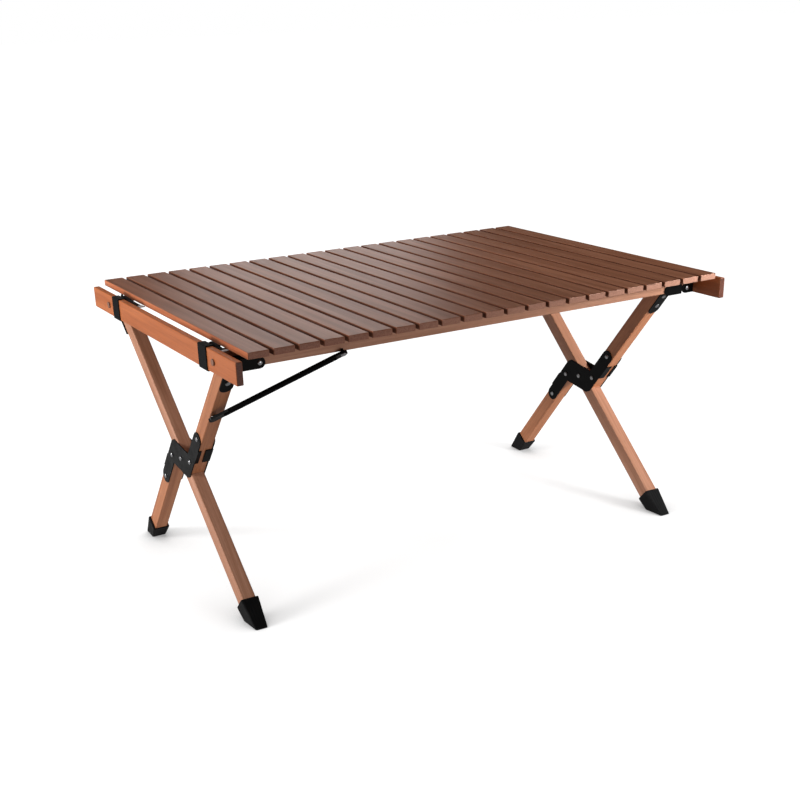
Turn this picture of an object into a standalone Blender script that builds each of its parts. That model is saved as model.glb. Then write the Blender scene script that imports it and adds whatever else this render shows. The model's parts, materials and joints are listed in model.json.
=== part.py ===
"""Folding picnic table with a roll-up slatted top, in metres, +Z up.

X runs along the table, -Y is the front. The origin is on the floor under the middle of the tabletop.
Each end stands on an X of two legs: one continuous leg, and one split leg whose upper and lower halves
are held side by side by a pair of steel cross plates, so that the continuous leg can close between them.
Two long rails join the leg tops, two end rails tie each X open, and the slats lie across the rails.
"""

import math

import bmesh
import bpy
from mathutils import Matrix, Vector

# ---- driving dimensions ----
TOP_LENGTH = 0.860
TOP_DEPTH = 0.600
TOP_HEIGHT = 0.458
SLAT_COUNT = 22
SLAT_WIDTH = 0.033
SLAT_THICKNESS = 0.010

LEG_OUTER_X = 0.424
LEG_THICKNESS = 0.0225
LEG_WIDTH = 0.0255
CROSS_Y = 0.0185
CROSS_Z = 0.2105
CONTINUOUS_ANGLE = math.radians(48.0)
SPLIT_ANGLE = math.radians(39.7)
SPLIT_OFFSET = 0.0275
FOOT_CLEARANCE = 0.015
FOOT_LENGTH = 0.042
FOOT_MOUTH = (0.0155, 0.01475)
FOOT_GROUND = (0.0118, 0.0137)

RAIL_WIDTH = 0.018
RAIL_BOTTOM_Z = 0.421
FRONT_RAIL_Y = -0.246
BACK_RAIL_Y = 0.270
RAIL_LEFT_X = -0.3975
RAIL_RIGHT_X = 0.4255

END_RAIL_OUTER_X = 0.450
END_RAIL_THICKNESS = 0.0106
END_RAIL_HEIGHT = 0.034
END_RAIL_LENGTH = 0.604

FRONT_PIVOT = (-0.223, 0.431)
BACK_PIVOT = (0.2545, 0.423)
LEFT_FOLD_X = -0.3895
RIGHT_FOLD_X = 0.4165
FRONT_FOLD_Z = 0.426
BACK_FOLD_Z = 0.42675
STUD_Y = 0.223
BRACKET_RADIUS = 0.0085
RIGHT_WALL_X = 0.4293
PLATE_LEFT_X = -0.4215
RAIL_PLATE_X = (0.3665, 0.4044)

SHEET = 0.0016
GAP = 0.0003
PIN_RADIUS = 0.0023
PIN_HOLE_RADIUS = 0.0028
CROSS_PIN_RADIUS = 0.0030
CROSS_HOLE_RADIUS = 0.0034
LOOSE_HOLE_RADIUS = 0.0040

STRAP_WIDTH = 0.030
STRAP_Y = 0.186
STRAP_THICKNESS = 0.0014
TONGUE_REACH_X = 0.4270
BELT_WIDTH = 0.030
BELT_Y = 0.120
BELT_END_INSET = 0.004

PLATE_REACH = 0.0130
PLATE_CORNER = 0.005
ARM_RADIUS = 0.0125
ARM_ROOT = 0.036
ARM_END = 0.0950
TAB_SPAN = (0.046, 0.080)
OUTER_TAB_REACH = 0.0055
INNER_TAB_REACH = 0.0120
PIN_PROUD = 0.0012

CLIP_LENGTH = 0.076
CLIP_EDGE = 0.0004
KNUCKLE_RADIUS = 0.0042
CATCH_LENGTH = 0.054
LEG_TOP_OVERRUN = 0.007
LEG_TOP_SLOPE = 0.005
SOCKET_DEPTH = 0.060
HEAD_RADIUS = 0.0050
HEAD_HEIGHT = 0.0018
COLLAR_RADIUS = 0.0040
STUD_COLLAR_X = 0.4275
WEB_SKIN = 0.0004
DRILL_OVERRUN = 0.010
EDGE_EASE = {"slat": 0.0011, "end_rail": 0.0013, "leg": 0.0014, "long_rail": 0.0015, "foot": 0.0022}

STAY_RAIL_END = (-0.258, -0.253, 0.420)
STAY_LEG_X = -0.4170
STAY_LEG_UP = 0.186
STAY_STANDOFF = 0.0096
STAY_ROD_RADIUS = 0.0045
STAY_FLAT_RADIUS = 0.0064
STAY_FLAT_THICKNESS = 0.0040
STAY_OVERHANG = 0.0090
STAY_FLAT_LENGTH = 0.022
STAY_ROD_INSET = 0.012
STAY_SHANK_RADIUS = 0.0022

# ---- values that follow ----
SLAT_PITCH = (TOP_LENGTH - SLAT_WIDTH) / (SLAT_COUNT - 1)
SLAT_BOTTOM = TOP_HEIGHT - SLAT_THICKNESS
RAIL_TOP_Z = SLAT_BOTTOM - GAP
LEG_INNER_X = LEG_OUTER_X - LEG_THICKNESS
LEG_MID_X = LEG_OUTER_X - LEG_THICKNESS / 2
HALF_WIDTH = LEG_WIDTH / 2
TAB_FACE = SPLIT_OFFSET + HALF_WIDTH + GAP
SIDES = (("left", -1), ("right", 1))

WOOD_TOP = ("wood_top", (0.30, 0.17, 0.13), 0.45, 0.0)
WOOD_RAIL = ("wood_rail", (0.42, 0.19, 0.10), 0.50, 0.0)
WOOD_LEG = ("wood_leg", (0.44, 0.24, 0.15), 0.50, 0.0)
STEEL = ("black_steel", (0.02, 0.02, 0.022), 0.45, 0.6)
FASTENER = ("bright_steel", (0.55, 0.55, 0.56), 0.30, 1.0)
RUBBER = ("black_rubber", (0.015, 0.015, 0.016), 0.70, 0.0)
WEBBING = ("black_webbing", (0.012, 0.012, 0.013), 0.90, 0.0)


def clear_scene():
    for obj in list(bpy.data.objects):
        bpy.data.objects.remove(obj, do_unlink=True)


def new_collection(name):
    collection = bpy.data.collections.new(name)
    bpy.context.scene.collection.children.link(collection)
    return collection


def make_material(spec):
    name, colour, roughness, metallic = spec
    material = bpy.data.materials.get(name)
    if material is None:
        material = bpy.data.materials.new(name)
        material.use_nodes = True
        shader = material.node_tree.nodes["Principled BSDF"]
        shader.inputs["Base Color"].default_value = (*colour, 1.0)
        shader.inputs["Roughness"].default_value = roughness
        shader.inputs["Metallic"].default_value = metallic
    return material


def make_object(name, mesh, collection, spec, origin=(0.0, 0.0, 0.0)):
    """Links a mesh built in world space as a named part whose origin is at the given point."""
    mesh.transform(Matrix.Translation(-Vector(origin)))
    obj = bpy.data.objects.new(name, mesh)
    obj.location = origin
    collection.objects.link(obj)
    obj.data.materials.append(make_material(spec))
    return obj


def mesh_from(bm, name):
    bm.normal_update()
    bmesh.ops.recalc_face_normals(bm, faces=bm.faces)
    mesh = bpy.data.meshes.new(name)
    bm.to_mesh(mesh)
    bm.free()
    return mesh


def box_mesh(name, low, high):
    bm = bmesh.new()
    bmesh.ops.create_cube(bm, size=1.0)
    size = Vector(high) - Vector(low)
    middle = (Vector(high) + Vector(low)) / 2
    bmesh.ops.scale(bm, vec=size, verts=bm.verts)
    bmesh.ops.translate(bm, vec=middle, verts=bm.verts)
    return mesh_from(bm, name)


def rod_mesh(name, axis, start, end, radius, segments=20):
    """A cylinder between two points on an X, Y or any other axis."""
    bm = bmesh.new()
    length = (Vector(end) - Vector(start)).length
    bmesh.ops.create_cone(
        bm, cap_ends=True, segments=segments, radius1=radius, radius2=radius, depth=length
    )
    turn = Vector((0, 0, 1)).rotation_difference(Vector(axis)).to_matrix().to_4x4()
    middle = (Vector(end) + Vector(start)) / 2
    bmesh.ops.transform(bm, matrix=Matrix.Translation(middle) @ turn, verts=bm.verts)
    return mesh_from(bm, name)


def x_rod(name, x_start, x_end, y, z, radius, segments=20):
    return rod_mesh(name, (1, 0, 0), (x_start, y, z), (x_end, y, z), radius, segments)


def y_rod(name, y_start, y_end, x, z, radius, segments=20):
    return rod_mesh(name, (0, 1, 0), (x, y_start, z), (x, y_end, z), radius, segments)


def nosed_outline(base_first, base_second, centre, radius, steps=10):
    """Two base corners joined to an arc round the centre, on the side away from the base."""
    middle = (Vector(base_first) + Vector(base_second)) / 2
    run = Vector(centre) - middle
    heading = math.atan2(run.y, run.x)
    points = [tuple(base_second), tuple(base_first)]
    for step in range(steps + 1):
        angle = heading - math.pi / 2 + math.pi * step / steps
        points.append((centre[0] + radius * math.cos(angle), centre[1] + radius * math.sin(angle)))
    return points


def tongue_outline(start, end, radius):
    """A flat bar that is square at its start and round about its end."""
    run = (Vector(end) - Vector(start)).normalized()
    across = Vector((run.y, -run.x)) * radius
    return nosed_outline(Vector(start) + across, Vector(start) - across, end, radius)


def sheet_mesh(name, outline, thickness):
    """A flat outline, drawn in XY and centred on z = 0, as a closed solid."""
    curve = bpy.data.curves.new(name, "CURVE")
    curve.dimensions = "2D"
    curve.fill_mode = "BOTH"
    curve.extrude = thickness / 2
    spline = curve.splines.new("POLY")
    spline.points.add(len(outline) - 1)
    for point, (a, b) in zip(spline.points, outline):
        point.co = (a, b, 0.0, 1.0)
    spline.use_cyclic_u = True
    holder = bpy.data.objects.new(name, curve)
    bpy.context.scene.collection.objects.link(holder)
    evaluated = holder.evaluated_get(bpy.context.evaluated_depsgraph_get())
    mesh = bpy.data.meshes.new_from_object(evaluated)
    bpy.data.objects.remove(holder)
    bm = bmesh.new()
    bm.from_mesh(mesh)
    bmesh.ops.remove_doubles(bm, verts=bm.verts, dist=0.00001)
    bmesh.ops.recalc_face_normals(bm, faces=bm.faces)
    bm.to_mesh(mesh)
    bm.free()
    return mesh


def stand_up(mesh, axis_a, axis_b, origin):
    """Moves a sheet drawn in XY so that X becomes axis_a, Y becomes axis_b, centred on origin."""
    a = Vector(axis_a)
    b = Vector(axis_b)
    normal = a.cross(b)
    matrix = Matrix((a, b, normal)).transposed().to_4x4()
    mesh.transform(Matrix.Translation(Vector(origin)) @ matrix)
    if matrix.determinant() < 0:
        mesh.flip_normals()
    return mesh


def combine(target, others, operation, cutters):
    """Joins to, or cuts from, a part with Booleans whose helper objects go in the cutter collection."""
    for number, mesh in enumerate(others):
        helper = bpy.data.objects.new(f"{target.name}.{operation.lower()}.{number}", mesh)
        helper.hide_render = True
        helper.display_type = "WIRE"
        cutters.objects.link(helper)
        modifier = target.modifiers.new(f"{operation.lower()} {number}", "BOOLEAN")
        modifier.operation = operation
        modifier.object = helper
    return target


def ease(obj, width, segments=2):
    bevel = obj.modifiers.new("eased edges", "BEVEL")
    bevel.width = width
    bevel.segments = segments
    bevel.limit_method = "ANGLE"
    bevel.angle_limit = math.radians(40)
    return obj


def smooth(obj):
    obj.data.shade_smooth()
    obj.data.set_sharp_from_angle(angle=math.radians(35))
    return obj


# ---- directions in the leg plane, as (y, z) ----
CONTINUOUS_UP = Vector((math.sin(CONTINUOUS_ANGLE), math.cos(CONTINUOUS_ANGLE)))
SPLIT_UP = Vector((-math.sin(SPLIT_ANGLE), math.cos(SPLIT_ANGLE)))
SPLIT_OUT = Vector((-math.cos(SPLIT_ANGLE), -math.sin(SPLIT_ANGLE)))
CONTINUOUS_OUT = Vector((math.cos(CONTINUOUS_ANGLE), -math.sin(CONTINUOUS_ANGLE)))
CROSS = Vector((CROSS_Y, CROSS_Z))


def split_point(out, up):
    """A point in the split leg's own (out, up) directions from the cross pivot."""
    return CROSS + SPLIT_OUT * out + SPLIT_UP * up


def continuous_point(out, up):
    return CROSS + CONTINUOUS_OUT * out + CONTINUOUS_UP * up


def prism_mesh(name, corners, x_low, x_high):
    """A four-sided bar along X: a cube whose edges along X are moved to the four (y, z) corners."""
    bm = bmesh.new()
    bmesh.ops.create_cube(bm, size=1.0)
    order = {(-1, -1): 0, (1, -1): 1, (1, 1): 2, (-1, 1): 3}
    for vert in bm.verts:
        corner = corners[order[(int(math.copysign(1, vert.co.y)), int(math.copysign(1, vert.co.z)))]]
        vert.co = (x_low if vert.co.x < 0 else x_high, corner[0], corner[1])
    return mesh_from(bm, name)


def leg_span(side):
    return sorted((side * LEG_INNER_X, side * LEG_OUTER_X))


def split_cut(out, side_up):
    """Where a half stops along the split leg, just clear of the continuous leg's face."""
    lean = math.cos(CONTINUOUS_ANGLE + SPLIT_ANGLE) / math.sin(CONTINUOUS_ANGLE + SPLIT_ANGLE)
    face = (HALF_WIDTH + GAP) / math.sin(CONTINUOUS_ANGLE + SPLIT_ANGLE)
    return side_up * face - lean * out


def build_slats(collection):
    for number in range(SLAT_COUNT):
        left = -TOP_LENGTH / 2 + number * SLAT_PITCH
        low = (left, -TOP_DEPTH / 2, SLAT_BOTTOM)
        high = (left + SLAT_WIDTH, TOP_DEPTH / 2, TOP_HEIGHT)
        name = f"slat_{number + 1:02d}"
        hinge = (left - (SLAT_PITCH - SLAT_WIDTH) / 2, 0.0, SLAT_BOTTOM)
        slat = make_object(name, box_mesh(name, low, high), collection, WOOD_TOP, hinge)
        ease(slat, EDGE_EASE["slat"])


def build_belts(collection):
    for name, y in (("front_belt", -BELT_Y), ("back_belt", BELT_Y)):
        low = (-TOP_LENGTH / 2 + BELT_END_INSET, y - BELT_WIDTH / 2, SLAT_BOTTOM - GAP - STRAP_THICKNESS)
        high = (TOP_LENGTH / 2 - BELT_END_INSET, y + BELT_WIDTH / 2, SLAT_BOTTOM - GAP)
        make_object(name, box_mesh(name, low, high), collection, WEBBING)


def build_long_rails(collection):
    for name, y in (("front_rail", FRONT_RAIL_Y), ("back_rail", BACK_RAIL_Y)):
        low = (RAIL_LEFT_X, y, RAIL_BOTTOM_Z)
        high = (RAIL_RIGHT_X, y + RAIL_WIDTH, RAIL_TOP_Z)
        rail = make_object(name, box_mesh(name, low, high), collection, WOOD_RAIL)
        ease(rail, EDGE_EASE["long_rail"])


def build_fold_holes(collection, cutters):
    """Holes for the corner brackets' rivets; the back right one is loose, to let both ends fold."""
    rails = (
        ("front_rail", FRONT_RAIL_Y, FRONT_FOLD_Z, PIN_HOLE_RADIUS),
        ("back_rail", BACK_RAIL_Y, BACK_FOLD_Z, LOOSE_HOLE_RADIUS),
    )
    for name, y, z, right_radius in rails:
        near_y = y - DRILL_OVERRUN
        far_y = y + RAIL_WIDTH + DRILL_OVERRUN
        drills = [
            y_rod(name, near_y, far_y, LEFT_FOLD_X, z, PIN_HOLE_RADIUS),
            y_rod(name, near_y, far_y, RIGHT_FOLD_X, z, right_radius),
        ]
        combine(collection.objects[name], drills, "DIFFERENCE", cutters)


def build_end_rails(collection, cutters):
    for name, side in SIDES:
        inner = side * (END_RAIL_OUTER_X - END_RAIL_THICKNESS)
        outer = side * END_RAIL_OUTER_X
        low = (min(inner, outer), -END_RAIL_LENGTH / 2, SLAT_BOTTOM - END_RAIL_HEIGHT)
        high = (max(inner, outer), END_RAIL_LENGTH / 2, SLAT_BOTTOM)
        rail_name = f"{name}_end_rail"
        bar = box_mesh(rail_name, low, high)
        rail = make_object(rail_name, bar, collection, WOOD_RAIL, (outer, *FRONT_PIVOT))
        ease(rail, EDGE_EASE["end_rail"])
        ends = (low[0] - DRILL_OVERRUN, high[0] + DRILL_OVERRUN)
        drills = [
            x_rod(rail_name, *ends, y, FRONT_PIVOT[1], PIN_HOLE_RADIUS)
            for y in (FRONT_PIVOT[0], STUD_Y)
        ]
        combine(rail, drills, "DIFFERENCE", cutters)


def build_legs(collection, cutters):
    top_back = (BACK_PIVOT[1] - CROSS_Z) / CONTINUOUS_UP.y + LEG_TOP_OVERRUN
    for name, side in SIDES:
        low_x, high_x = leg_span(side)
        foot = (FOOT_CLEARANCE - CROSS_Z) / CONTINUOUS_UP.y
        corners = [
            continuous_point(-HALF_WIDTH, foot),
            continuous_point(HALF_WIDTH, foot),
            continuous_point(HALF_WIDTH, top_back),
            continuous_point(-HALF_WIDTH, top_back),
        ]
        leg_name = f"{name}_continuous_leg"
        mesh = prism_mesh(leg_name, corners, low_x, high_x)
        leg = make_object(leg_name, mesh, collection, WOOD_LEG, (side * LEG_MID_X, *CROSS))
        ease(leg, EDGE_EASE["leg"])
        ends = (low_x - DRILL_OVERRUN, high_x + DRILL_OVERRUN)
        drills = [
            x_rod(leg_name, *ends, CROSS_Y, CROSS_Z, CROSS_HOLE_RADIUS),
            x_rod(leg_name, *ends, *BACK_PIVOT, PIN_HOLE_RADIUS),
        ]
        combine(leg, drills, "DIFFERENCE", cutters)


def build_split_halves(collection):
    pivot = Vector(FRONT_PIVOT) - CROSS
    top = pivot.dot(SPLIT_UP) - LEG_TOP_OVERRUN
    for name, side in SIDES:
        low_x, high_x = leg_span(side)
        origin = (side * LEG_MID_X, *CROSS)
        near = SPLIT_OFFSET - HALF_WIDTH
        far = SPLIT_OFFSET + HALF_WIDTH
        upper = [
            split_point(near, split_cut(near, 1)),
            split_point(near, top - LEG_TOP_SLOPE),
            split_point(far, top),
            split_point(far, split_cut(far, 1)),
        ]
        upper_name = f"{name}_split_leg_upper"
        mesh = prism_mesh(upper_name, upper, low_x, high_x)
        ease(make_object(upper_name, mesh, collection, WOOD_LEG, origin), EDGE_EASE["leg"])
        foot = (FOOT_CLEARANCE - CROSS_Z + SPLIT_OUT.y * SPLIT_OFFSET) / SPLIT_UP.y
        lower = [
            split_point(-near, split_cut(-near, -1)),
            split_point(-near, foot),
            split_point(-far, foot),
            split_point(-far, split_cut(-far, -1)),
        ]
        lower_name = f"{name}_split_leg_lower"
        mesh = prism_mesh(lower_name, lower, low_x, high_x)
        ease(make_object(lower_name, mesh, collection, WOOD_LEG, origin), EDGE_EASE["leg"])


def foot_mesh(name, x, base, up):
    """A block along the leg that narrows towards the floor and runs on below it."""
    out = Vector((up.y, -up.x))
    below = -0.020
    bm = bmesh.new()
    bmesh.ops.create_cube(bm, size=1.0)
    for vert in bm.verts:
        along = below if vert.co.z < 0 else FOOT_LENGTH
        share = along / FOOT_LENGTH
        half_x = FOOT_GROUND[0] + (FOOT_MOUTH[0] - FOOT_GROUND[0]) * share
        half_out = FOOT_GROUND[1] + (FOOT_MOUTH[1] - FOOT_GROUND[1]) * share
        point = base + up * along + out * math.copysign(half_out, vert.co.y)
        vert.co = (x + math.copysign(half_x, vert.co.x), point.x, point.y)
    return mesh_from(bm, name)


def build_feet(collection, cutters):
    """Rubber caps with a socket for the leg's end and a flat sole on the floor."""
    continuous_base = continuous_point(0.0, -CROSS_Z / CONTINUOUS_UP.y)
    lower_axis = split_point(-SPLIT_OFFSET, 0.0)
    split_base = lower_axis - SPLIT_UP * (lower_axis.y / SPLIT_UP.y)
    for name, side in SIDES:
        low_x, high_x = leg_span(side)
        for end, base, up in (("front", continuous_base, CONTINUOUS_UP), ("back", split_base, SPLIT_UP)):
            foot_name = f"{name}_{end}_foot"
            mesh = foot_mesh(foot_name, side * LEG_MID_X, base, up)
            foot = make_object(foot_name, mesh, collection, RUBBER)
            floor = box_mesh(foot_name, (-0.5, -0.4, -0.05), (0.5, 0.4, 0.0))
            combine(foot, [floor], "DIFFERENCE", cutters)
            ease(foot, EDGE_EASE["foot"])
            out = Vector((up.y, -up.x)) * (HALF_WIDTH + GAP)
            start = base + up * ((FOOT_CLEARANCE - 0.0005) / up.y)
            depth = up * SOCKET_DEPTH
            corners = [start - out, start + out, start + out + depth, start - out + depth]
            socket = prism_mesh(foot_name, corners, low_x - GAP, high_x + GAP)
            combine(foot, [socket], "DIFFERENCE", cutters)


def cross_plate_outline():
    """Half of the Z-shaped plate, in the split leg's (out, up) directions, and its half turn."""
    edge = SPLIT_OFFSET + PLATE_REACH
    tab_low, tab_high = TAB_SPAN
    half = [
        (edge - PLATE_CORNER, -PLATE_CORNER),
        (edge, PLATE_CORNER),
        (edge, tab_low),
        (TAB_FACE + SHEET, tab_low),
        (TAB_FACE + SHEET, tab_high),
        (edge, tab_high),
    ]
    for step in range(11):
        angle = math.pi * step / 10
        out = edge - ARM_RADIUS + ARM_RADIUS * math.cos(angle)
        half.append((out, ARM_END + ARM_RADIUS * math.sin(angle)))
    half.append((edge - 2 * ARM_RADIUS, ARM_ROOT))
    return half + [(-out, -up) for out, up in half]


def build_cross_plates(collection, cutters):
    """The steel plates on both faces of each X, with side tabs folded over the split halves."""
    tab_low, tab_high = TAB_SPAN
    for name, side in SIDES:
        for face, direction, tab_reach in (("outer", 1, OUTER_TAB_REACH), ("inner", -1, INNER_TAB_REACH)):
            plate_name = f"{name}_{face}_cross_plate"
            edge = LEG_OUTER_X if direction > 0 else LEG_INNER_X
            x = side * (edge + direction * (GAP + SHEET / 2))
            outward = side * direction
            flat = sheet_mesh(plate_name, cross_plate_outline(), SHEET)
            stand_up(flat, (0, *SPLIT_OUT), (0, *SPLIT_UP), (x, *CROSS))
            plate = make_object(plate_name, flat, collection, STEEL, (side * LEG_MID_X, *CROSS))
            extra = []
            for half in (1, -1):
                tab = [
                    split_point(half * TAB_FACE, half * tab_low),
                    split_point(half * TAB_FACE, half * tab_high),
                    split_point(half * (TAB_FACE + SHEET), half * tab_high),
                    split_point(half * (TAB_FACE + SHEET), half * tab_low),
                ]
                reach = sorted((x, x - outward * tab_reach))
                extra.append(prism_mesh(plate_name, tab, *reach))
            if direction > 0:
                end = side * (LEG_INNER_X - GAP - SHEET - PIN_PROUD)
                extra.append(x_rod(plate_name, x, end, CROSS_Y, CROSS_Z, CROSS_PIN_RADIUS))
            combine(plate, extra, "UNION", cutters)
            if direction < 0:
                ends = (x - DRILL_OVERRUN, x + DRILL_OVERRUN)
                drill = x_rod(plate_name, *ends, CROSS_Y, CROSS_Z, CROSS_HOLE_RADIUS)
                combine(plate, [drill], "DIFFERENCE", cutters)
            smooth(plate)


def bracket_wall_x(side):
    """The wall is beside the rail's end: inboard of the left legs, outboard of the right ones."""
    return RIGHT_WALL_X if side > 0 else -(LEG_INNER_X - 0.0005 - SHEET / 2)


def bracket_mesh_parts(name, side, rail_y, outward, pivot):
    """The folded sheet and the rivet of one corner bracket: face plate, wall and rivet."""
    wall_x = bracket_wall_x(side)
    fold_x = RIGHT_FOLD_X if side > 0 else LEFT_FOLD_X
    fold_z = FRONT_FOLD_Z if outward < 0 else BACK_FOLD_Z
    face_y = rail_y if outward < 0 else rail_y + RAIL_WIDTH
    plate_y = face_y + outward * (GAP + SHEET / 2)
    nose_x = fold_x - 0.003 if side > 0 else fold_x
    start_x = PLATE_LEFT_X if (side, outward) == (-1, -1) else wall_x + side * SHEET / 2
    outline = tongue_outline((start_x, fold_z), (nose_x, fold_z), BRACKET_RADIUS)
    plate = stand_up(sheet_mesh(name, outline, SHEET), (1, 0, 0), (0, 0, 1), (0, plate_y, 0))
    edge_y = plate_y + outward * SHEET / 2
    low = (edge_y, fold_z - BRACKET_RADIUS)
    high = (edge_y, fold_z + BRACKET_RADIUS)
    corners = (high, low) if outward > 0 else (low, high)
    wall_outline = nosed_outline(*corners, pivot, 0.0080)
    wall = stand_up(sheet_mesh(name, wall_outline, SHEET), (0, 1, 0), (0, 0, 1), (wall_x, 0, 0))
    rivet_end = face_y - outward * (RAIL_WIDTH + 0.001)
    rivet = y_rod(name, plate_y, rivet_end, fold_x, fold_z, PIN_RADIUS)
    return plate, wall, rivet, (fold_x, plate_y, fold_z)


def build_corner_brackets(collection, cutters):
    """Steel brackets that turn on the long rails' ends and carry the leg-top pins."""
    for name, side in SIDES:
        wall_x = bracket_wall_x(side)
        ends = (("front", FRONT_RAIL_Y, -1, FRONT_PIVOT), ("back", BACK_RAIL_Y, 1, BACK_PIVOT))
        for end, rail_y, outward, pivot in ends:
            bracket_name = f"{name}_{end}_bracket"
            plate, wall, rivet, origin = bracket_mesh_parts(bracket_name, side, rail_y, outward, pivot)
            bracket = make_object(bracket_name, plate, collection, STEEL, origin)
            extra = [wall, rivet]
            if end == "back":
                tip = LEG_INNER_X - 0.001 if side > 0 else -(LEG_OUTER_X + GAP + SHEET + 0.0003)
                extra.append(x_rod(bracket_name, wall_x, tip, *pivot, PIN_RADIUS))
            combine(bracket, extra, "UNION", cutters)
            if end == "front":
                ends = (wall_x - DRILL_OVERRUN, wall_x + DRILL_OVERRUN)
                drill = x_rod(bracket_name, *ends, *pivot, PIN_HOLE_RADIUS)
                combine(bracket, [drill], "DIFFERENCE", cutters)
            smooth(bracket)


def build_rail_plate(collection):
    """A fixed steel plate on the front rail, just inboard of the right corner bracket."""
    name = "right_rail_plate"
    start = (RAIL_PLATE_X[1], FRONT_FOLD_Z)
    end = (RAIL_PLATE_X[0] + BRACKET_RADIUS, FRONT_FOLD_Z)
    plate_y = FRONT_RAIL_Y - GAP - SHEET / 2
    plate = sheet_mesh(name, tongue_outline(start, end, BRACKET_RADIUS), SHEET)
    stand_up(plate, (1, 0, 0), (0, 0, 1), (0, plate_y, 0))
    smooth(make_object(name, plate, collection, STEEL, (end[0], plate_y, FRONT_FOLD_Z)))


def build_front_clips(collection, cutters):
    """Steel clips on the split leg's front face, rolled into a knuckle round the front bolt."""
    pivot = Vector(FRONT_PIVOT) - CROSS
    top = pivot.dot(SPLIT_UP)
    face = SPLIT_OFFSET + HALF_WIDTH + GAP + SHEET / 2
    half = LEG_THICKNESS / 2 - CLIP_EDGE
    for name, side in SIDES:
        clip_name = f"{name}_front_clip"
        outline = tongue_outline((top, 0.0), (top - CLIP_LENGTH, 0.0), half)
        flat = sheet_mesh(clip_name, outline, SHEET)
        plate = stand_up(flat, (0, *SPLIT_UP), (1, 0, 0), (side * LEG_MID_X, *split_point(face, 0.0)))
        clip = make_object(clip_name, plate, collection, STEEL, (side * LEG_MID_X, *FRONT_PIVOT))
        ends = (side * LEG_MID_X - half, side * LEG_MID_X + half)
        combine(clip, [x_rod(clip_name, *ends, *FRONT_PIVOT, KNUCKLE_RADIUS)], "UNION", cutters)
        drill_ends = (ends[0] - DRILL_OVERRUN, ends[1] + DRILL_OVERRUN)
        drill = x_rod(clip_name, *drill_ends, *FRONT_PIVOT, PIN_HOLE_RADIUS)
        combine(clip, [drill], "DIFFERENCE", cutters)
        smooth(clip)


def build_back_catches(collection, cutters):
    """A clip on the continuous leg's back face, bent round its side into a hook for the rear stud."""
    reach = (Vector(BACK_PIVOT) - CROSS).dot(CONTINUOUS_UP)
    face = HALF_WIDTH + GAP
    hook = [
        (-0.0315, 0.296),
        (-0.0365, 0.296),
        (-0.0365, 0.313),
        (-0.0140, 0.313),
        (-0.0125, reach + 0.0060),
        (0.0080, reach + 0.0060),
        (face + SHEET, reach + 0.0020),
        (face + SHEET, 0.3055),
        (-0.0315, 0.3055),
    ]
    for name, side in SIDES:
        catch_name = f"{name}_back_catch"
        x = side * (LEG_OUTER_X + GAP + SHEET / 2)
        flat = sheet_mesh(catch_name, hook, SHEET)
        plate = stand_up(flat, (0, *CONTINUOUS_OUT), (0, *CONTINUOUS_UP), (x, *CROSS))
        catch = make_object(catch_name, plate, collection, STEEL, (side * LEG_MID_X, *BACK_PIVOT))
        corners = [
            continuous_point(face, reach - CATCH_LENGTH),
            continuous_point(face + SHEET, reach - CATCH_LENGTH),
            continuous_point(face + SHEET, reach + 0.002),
            continuous_point(face, reach + 0.002),
        ]
        span = sorted((side * (LEG_INNER_X + CLIP_EDGE), x + side * SHEET / 2))
        flange = prism_mesh(catch_name, corners, *span)
        combine(catch, [flange], "UNION", cutters)
        drill = x_rod(catch_name, x - DRILL_OVERRUN, x + DRILL_OVERRUN, *BACK_PIVOT, PIN_HOLE_RADIUS)
        combine(catch, [drill], "DIFFERENCE", cutters)
        smooth(catch)


def build_fastener(name, collection, cutters, side, start_x, y, collar_x):
    """A shaft along X through the end rail, with a head outside it and a collar inside it."""
    head_x = side * (END_RAIL_OUTER_X + GAP)
    end_x = head_x + side * HEAD_HEIGHT
    collar_end = side * (END_RAIL_OUTER_X - END_RAIL_THICKNESS - GAP)
    z = FRONT_PIVOT[1]
    shaft = x_rod(name, start_x, end_x, y, z, PIN_RADIUS)
    fastener = make_object(name, shaft, collection, FASTENER, (side * END_RAIL_OUTER_X, y, z))
    head = x_rod(name, head_x, end_x, y, z, HEAD_RADIUS, 24)
    collar = x_rod(name, collar_x, collar_end, y, z, COLLAR_RADIUS)
    combine(fastener, [head, collar], "UNION", cutters)
    smooth(fastener)


def build_bolts(collection, cutters):
    """The front bolts that the split legs and end rails turn on, and the end rails' rear studs."""
    for name, side in SIDES:
        start_x = LEG_INNER_X - 0.0006 if side > 0 else bracket_wall_x(side)
        collar_x = RIGHT_WALL_X + SHEET / 2 + 0.0005 if side > 0 else -(LEG_OUTER_X + 0.0009)
        bolt_name = f"{name}_front_bolt"
        build_fastener(bolt_name, collection, cutters, side, start_x, FRONT_PIVOT[0], collar_x)
        stud_name = f"{name}_rear_stud"
        start_x = side * (LEG_OUTER_X + 0.0004)
        build_fastener(stud_name, collection, cutters, side, start_x, STUD_Y, side * STUD_COLLAR_X)


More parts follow.
